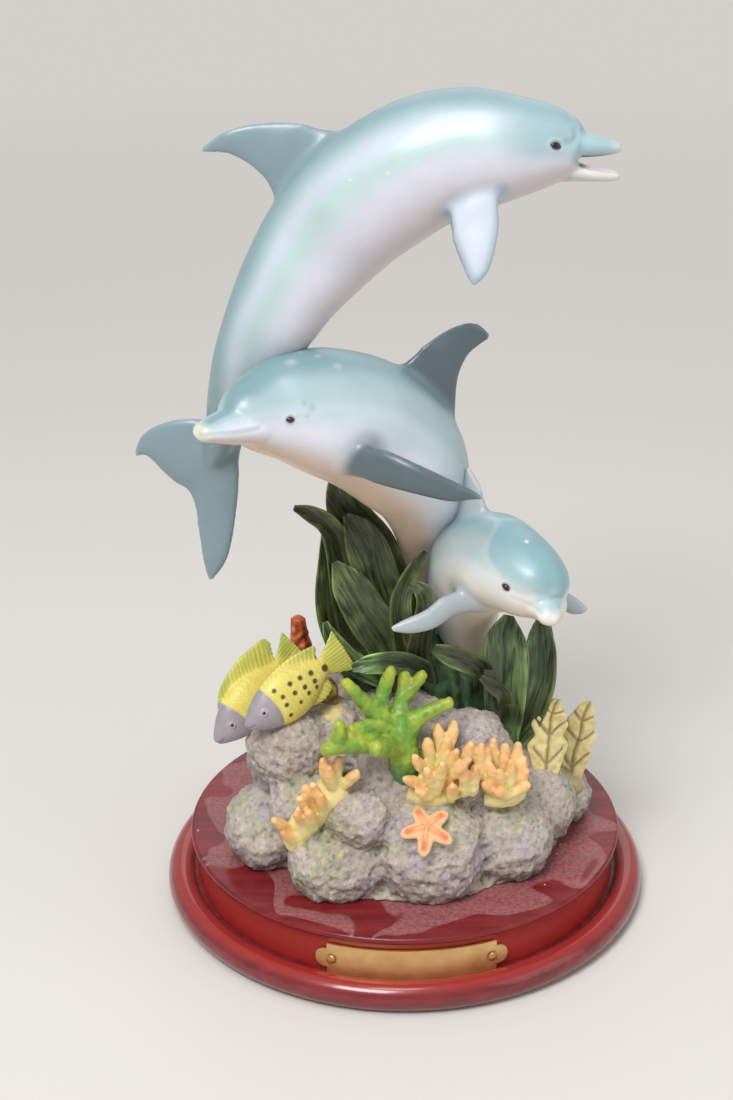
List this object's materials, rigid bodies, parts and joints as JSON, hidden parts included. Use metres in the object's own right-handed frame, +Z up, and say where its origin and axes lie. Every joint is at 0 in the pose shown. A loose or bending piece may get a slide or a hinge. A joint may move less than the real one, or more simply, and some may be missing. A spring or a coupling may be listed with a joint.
{
  "type": "dolphin figurine",
  "caption": "Resin figurine of dolphins leaping over a reef of rock, kelp, coral and fish, on a turned wooden plinth with a bare brass plate.",
  "frame": {"origin": "middle of the plinth's flat underside", "axes": "+Z up, -Y is the front with the brass plate, +X is the side that the upper dolphin leaps to"},
  "size_m": [0.1449, 0.1398, 0.2367],
  "materials": {
    "cherry_lacquer": "turned wood, stained dark cherry under gloss lacquer",
    "brass": "thin brass, satin, slightly aged",
    "painted_rock": "cast resin, painted grey and mauve, dry-brushed with moss green and gold",
    "kelp_green": "cast resin, painted dark green with streaks, satin",
    "airbrushed_grey": "cast resin, airbrushed from grey-teal backs to pale bellies, satin varnish",
    "fish_yellow": "cast resin, painted yellow with dark spots and grey heads, satin varnish",
    "staghorn_green": "cast resin, painted lime green with yellow tips, satin varnish",
    "finger_coral_orange": "cast resin, painted orange at the fingertips and pale yellow at the foot",
    "leaf_coral_yellow": "cast resin, painted dull yellow with brown veins",
    "sponge_red": "cast resin, painted red with pale rims",
    "sponge_brown": "cast resin, painted ochre brown",
    "starfish_orange": "cast resin, painted orange with red lines along the arms"
  },
  "bodies": {
    "root": {"plinth": "cherry_lacquer", "name_plate": "brass", "plate_pin_left": "brass", "plate_pin_right": "brass", "rock_base": "painted_rock", "kelp": "kelp_green", "upper_dolphin": "airbrushed_grey", "middle_dolphin": "airbrushed_grey", "lower_dolphin": "airbrushed_grey", "front_fish": "fish_yellow", "rear_fish": "fish_yellow", "staghorn_coral": "staghorn_green", "finger_coral_left": "finger_coral_orange", "finger_coral_centre": "finger_coral_orange", "finger_coral_right": "finger_coral_orange", "leaf_coral": "leaf_coral_yellow", "red_sponge": "sponge_red", "barrel_sponge": "sponge_brown", "starfish": "starfish_orange"}
  },
  "joints": []
}
